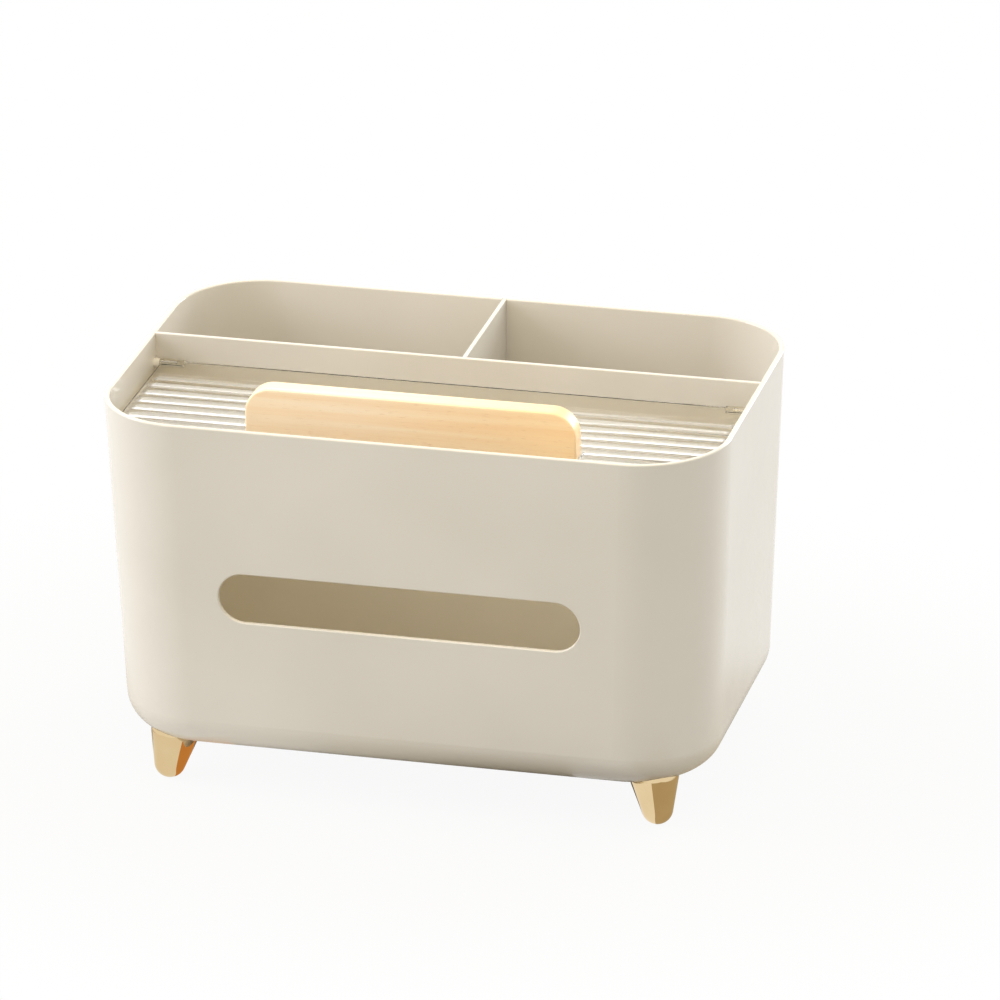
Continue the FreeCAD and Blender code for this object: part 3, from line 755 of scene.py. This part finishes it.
# %% Screws of the legs and the pull
LEG_SCREW_LENGTH = 14.0 * MM
PULL_SCREW_LENGTH = 12.0 * MM
leg_screws_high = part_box("leg_screws")[1]
leg_x, leg_y = leg_screws_high.x - HEAD_RADIUS, leg_screws_high.y - HEAD_RADIUS
boss_top = leg_screws_high.z - HEAD_HEIGHT
leg_places = [(sx * leg_x, sy * leg_y, boss_top) for sx in (-1, 1) for sy in (-1, 1)]
pull_places = [(sx * PULL_SCREW_SPACING / 2, pull_screw_y, plate_bottom) for sx in (-1, 1)]
set_screws("leg_screws_zinc", LEG_SCREW_LENGTH, leg_places, 0.0, "tub", "leg_screws")
set_screws("pull_screws_zinc", PULL_SCREW_LENGTH, pull_places, math.pi, "lid", "handle_screws")

# %% [markdown]
# ## Camera
#
# The photograph is a long-lens view from a little to the right and above. The camera was fitted to
# the rim, the walls and the dividers, so its angles and its distance are written as measured.

# %% Camera at the photograph's angle
AZIMUTH = math.radians(14.37)
ELEVATION = math.radians(22.52)
ROLL = math.radians(-0.60)
CAMERA_DISTANCE = 3044.5 * MM
AIM_RIGHT = 19.52 * MM  # from the middle of the tub to the middle of the picture
AIM_UP = 12.97 * MM
AIM_HEIGHT = 67.0 * MM  # above the underside of the tub
LENS = 288.3  # in mm
SENSOR = 36.0  # width in mm
FARTHEST = 50.0  # in m, where the camera stops seeing

shell_low, shell_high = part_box("shell")
away = Vector((math.sin(AZIMUTH) * math.cos(ELEVATION), -math.cos(AZIMUTH) * math.cos(ELEVATION),
               math.sin(ELEVATION)))
level_right = Vector((math.cos(AZIMUTH), math.sin(AZIMUTH), 0))
level_up = away.cross(level_right)
camera_right = level_right * math.cos(ROLL) + level_up * math.sin(ROLL)
camera_up = level_up * math.cos(ROLL) - level_right * math.sin(ROLL)
aim = Vector((0, 0, shell_low.z + AIM_HEIGHT)) + camera_right * AIM_RIGHT + camera_up * AIM_UP

camera_data = bpy.data.cameras.new("camera")
camera_data.lens = LENS
camera_data.sensor_width = SENSOR
camera_data.clip_end = FARTHEST
camera = bpy.data.objects.new("camera", camera_data)
camera.matrix_world = Matrix.LocRotScale(
    aim + away * CAMERA_DISTANCE, Matrix((camera_right, camera_up, away)).transposed(), None)
bpy.context.scene.collection.objects.link(camera)
bpy.context.scene.camera = camera
print("camera at", [round(v, 3) for v in camera.location])

# %% [markdown]
# ## Floor
#
# The photograph stands on pure white. For rays from the camera the floor is a plain white glow, and
# near the object a small share of the pale sheet under it keeps a soft shadow. Polished legs mirror
# the floor right beside them, so close to the object reflections see the sheet with its shadow, and
# further out they see the white background.

# %% White floor
FLOOR_SIZE = 12.0
NEAR = (240 * MM, 180 * MM)  # half axes of an oval round the object
GLOW_NEAR = 0.93  # share of plain white that the camera sees close to the object


def white_floor():
    material, tree = new_material("white_floor")
    sheet = add(tree, "ShaderNodeBsdfDiffuse", {"Color": linear("B4AFA6")})
    glow = add(tree, "ShaderNodeEmission", {"Color": (1, 1, 1, 1), "Strength": 1.0})
    place = add(tree, "ShaderNodeTexCoord").outputs["Object"]
    oval = add(tree, "ShaderNodeMapping", {"Vector": place, "Scale": (1 / NEAR[0], 1 / NEAR[1], 1)})
    reach = add(tree, "ShaderNodeVectorMath", {0: oval.outputs["Vector"]},
                operation="LENGTH").outputs["Value"]
    path = add(tree, "ShaderNodeLightPath").outputs
    direct = add(tree, "ShaderNodeMapRange", {
        "Value": reach, "From Min": 0.7, "From Max": 1.5, "To Min": GLOW_NEAR},
        interpolation_type="SMOOTHSTEP").outputs["Result"]
    direct = add(tree, "ShaderNodeMath", {0: direct, 1: path["Is Camera Ray"]},
                 operation="MULTIPLY").outputs[0]
    bounced = add(tree, "ShaderNodeMath", {0: path["Is Glossy Ray"], 1: path["Is Transmission Ray"]},
                  operation="MAXIMUM").outputs[0]
    mirrored = add(tree, "ShaderNodeMapRange", {"Value": reach, "From Min": 0.62, "From Max": 0.85},
                   interpolation_type="SMOOTHSTEP").outputs["Result"]
    mirrored = add(tree, "ShaderNodeMath", {0: mirrored, 1: bounced}, operation="MULTIPLY").outputs[0]
    share = add(tree, "ShaderNodeMath", {0: direct, 1: mirrored}, operation="MAXIMUM").outputs[0]
    mixed = add(tree, "ShaderNodeMixShader", {
        "Fac": share, 1: sheet.outputs["BSDF"], 2: glow.outputs["Emission"]})
    add(tree, "ShaderNodeOutputMaterial", {"Surface": mixed.outputs["Shader"]})
    return material


def stage_sheet(name, corners, material):
    """A flat sheet of the stage with its corners as (x, y, z)."""
    mesh = bpy.data.meshes.new(name)
    mesh.from_pydata(corners, [], [range(len(corners))])
    mesh.materials.append(material)
    obj = bpy.data.objects.new(name, mesh)
    bpy.context.scene.collection.objects.link(obj)
    return obj


half = FLOOR_SIZE / 2
floor_corners = [(-half, -half, 0), (half, -half, 0), (half, half, 0), (-half, half, 0)]
stage_sheet("floor", floor_corners, white_floor())
print("floor:", FLOOR_SIZE, "m square")

# %% [markdown]
# ## Cards
#
# In an all-white studio polished metal looks flat, so photographers lay cards beside it. Beside each
# front leg lie a white one, a painted reflection of brightly lit floor that draws a bright panel on
# the leg, and a brown one, a painted shadow of the tub on the floor, which makes its right side
# darker. Only reflections see these. Two more lie in front of the tub, and only diffuse light sees
# them: a white one lifts the lower left of the front wall, and a brown one, painted shade for the
# tub's shadow on the floor, takes light from its lower right. From below every card is clear, so
# that none of them tints the floor.

# %% Cards on the floor
CARD_HEIGHT = 0.2 * MM


def card(name, colour, corners, seen_by="glossy"):
    """A card that lies on the floor for one kind of ray, with its corners as (x, y) in mm."""
    material, tree = new_material(name)
    shade = add(tree, "ShaderNodeEmission", {"Color": linear(colour), "Strength": 1.0})
    passing = add(tree, "ShaderNodeBsdfTransparent")
    from_below = add(tree, "ShaderNodeNewGeometry").outputs["Backfacing"]
    mixed = add(tree, "ShaderNodeMixShader", {
        "Fac": from_below, 1: shade.outputs["Emission"], 2: passing.outputs["BSDF"]})
    add(tree, "ShaderNodeOutputMaterial", {"Surface": mixed.outputs["Shader"]})
    obj = stage_sheet(name, [(x * MM, y * MM, CARD_HEIGHT) for x, y in corners], material)
    obj.visible_camera = obj.visible_shadow = obj.visible_transmission = False
    obj.visible_glossy, obj.visible_diffuse = seen_by == "glossy", seen_by == "diffuse"


# painted shadow: the tub's shade on the floor, seen only in reflections beside the left leg
card("card_left_brown", "D09252", [(-95, -59), (-74, -77), (-74, -42), (-95, -42)])
# painted reflection: brightly lit floor, seen only in reflections beside the left leg
card("card_left_white", "F4F2EC",
     [(-95, -59), (-95, -42), (-150, -42), (-150, -119), (-74, -119), (-74, -77)])
# painted reflection: brightly lit floor, seen only in reflections beside the right leg
card("card_right_white", "FFFFFF", [(95, -59), (60, -45), (60, -119), (95, -119)])
# painted shadow: the tub's shadow on the floor, seen only in reflections beside the right leg
card("card_right_brown", "C0B193", [(95, -119), (150, -119), (150, 10), (95, 10)])
card("card_bounce_left", "FFFFFF", [(-115, -105), (-35, -105), (-35, -62), (-115, -62)], "diffuse")
# painted shade: the tub's shadow on the floor, which only diffuse light sees, darkening the lower right
# front
card("card_bounce_right", "5C4814", [(10, -105), (120, -105), (120, -62), (10, -62)], "diffuse")

# %% [markdown]
# ## Surroundings
#
# The room is plain white on all sides. At a strength of 1 it is the white of the background and of
# reflections, and by its light alone a surface shows about the colour that it is written with.

# %% Surroundings
ROOM_STRENGTH = 1.0
world = bpy.data.worlds.new("surroundings")
world.use_nodes = True
world.node_tree.nodes.clear()
room = add(world.node_tree, "ShaderNodeBackground", {"Color": (1, 1, 1, 1), "Strength": ROOM_STRENGTH})
add(world.node_tree, "ShaderNodeOutputWorld", {"Surface": room.outputs["Background"]})
bpy.context.scene.world = world
print("surroundings: white at a strength of", ROOM_STRENGTH)

# %% [markdown]
# ## Studio lights
#
# Large soft boxes shape the object: one from the left, which brightens the left corner, one from
# above and behind, which draws the bright rims and the top of the pull, and one low behind the right,
# which lights the right wall alone and leaves the front right corner in shade. A tall panel behind
# gives the flutes of the lid something bright to mirror, and a small warm box close above reaches
# into the bays.

# %% Soft boxes


def soft_box(name, azimuth, elevation, distance, width, height, power, colour="FFFFFF"):
    """A rectangular lamp that faces the tub from a direction given as for the camera."""
    middle = Vector((0, 0, (shell_low.z + shell_high.z) / 2))
    turn, rise = math.radians(azimuth), math.radians(elevation)
    outward = Vector((math.sin(turn) * math.cos(rise), -math.cos(turn) * math.cos(rise), math.sin(rise)))
    data = bpy.data.lights.new(name, "AREA")
    data.shape = "RECTANGLE"
    data.size, data.size_y = width, height
    data.energy = power
    data.color = linear(colour)[:3]
    lamp = bpy.data.objects.new(name, data)
    lamp.matrix_world = Matrix.LocRotScale(
        middle + outward * distance, outward.to_track_quat("Z", "Y"), None)
    bpy.context.scene.collection.objects.link(lamp)
    print(f"{name}: {power} W from {azimuth} degrees, {elevation} degrees up")


soft_box("left_box", azimuth=-78, elevation=28, distance=1.6, width=0.9, height=0.9,
         power=18.6, colour="F2F5FF")
soft_box("top_box", azimuth=150, elevation=72, distance=1.6, width=1.2, height=0.9,
         power=3.8, colour="FFFDEB")
soft_box("rear_right_box", azimuth=146, elevation=16, distance=1.6, width=0.6, height=0.9,
         power=15.0, colour="F5F8FF")
soft_box("rear_panel", azimuth=195, elevation=28, distance=1.9, width=0.5, height=1.5, power=1.6)
soft_box("bay_box", azimuth=0, elevation=74, distance=0.43, width=0.3, height=0.2,
         power=0.55, colour="FFE09A")

# %% [markdown]
# ## Colour view
#
# Colours are shown as they are, with no filmic curve.

# %% Finish
bpy.context.scene.view_settings.view_transform = "Standard"
bpy.context.view_layer.update()
